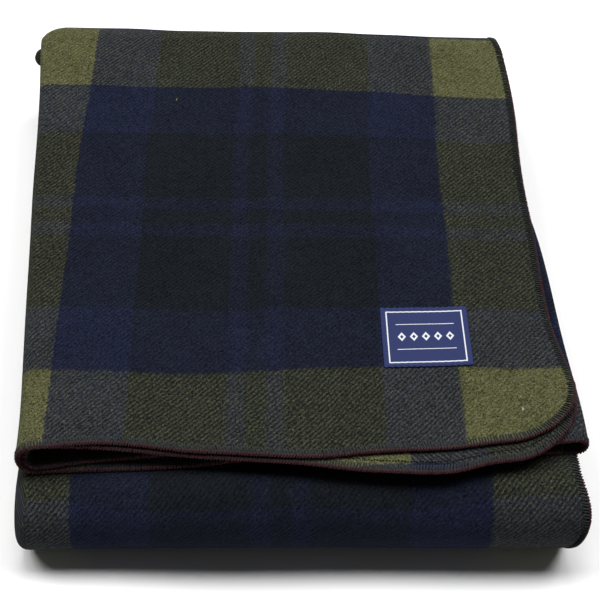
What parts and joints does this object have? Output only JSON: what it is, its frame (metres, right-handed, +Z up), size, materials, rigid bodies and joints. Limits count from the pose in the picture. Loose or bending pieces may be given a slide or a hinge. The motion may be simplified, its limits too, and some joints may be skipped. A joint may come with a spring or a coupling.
{
  "type": "folded camp blanket",
  "caption": "Thick plaid wool camp blanket, folded in quarters and rolled flat, with overlocked edges and a small sewn-on woven label.",
  "frame": {"origin": "bottom centre of the folded blanket's box, on the surface it lies on", "axes": "+X along the folded width, towards the open side edges; +Y from the open front roll to the back bend; +Z up, through the stack"},
  "size_m": [0.3306, 0.3998, 0.0708],
  "materials": {
    "wool_plaid": "felted wool twill in an olive, navy and charcoal plaid",
    "looper_thread": "charcoal wool yarn, matt",
    "purl_thread": "maroon yarn, matt",
    "label_weave": "fine blue and white woven satin",
    "label_thread": "blue polyester sewing thread"
  },
  "bodies": {
    "root": {"blanket_cloth": "wool_plaid", "looper_wrap_outer_end": "looper_thread", "looper_wrap_inner_end": "looper_thread", "looper_wrap_side_a": "looper_thread", "looper_wrap_side_b": "looper_thread", "purl_thread_outer_end": "purl_thread", "purl_thread_inner_end": "purl_thread", "purl_thread_side_a": "purl_thread", "purl_thread_side_b": "purl_thread", "woven_label": "label_weave", "label_stitches": "label_thread"}
  },
  "joints": []
}
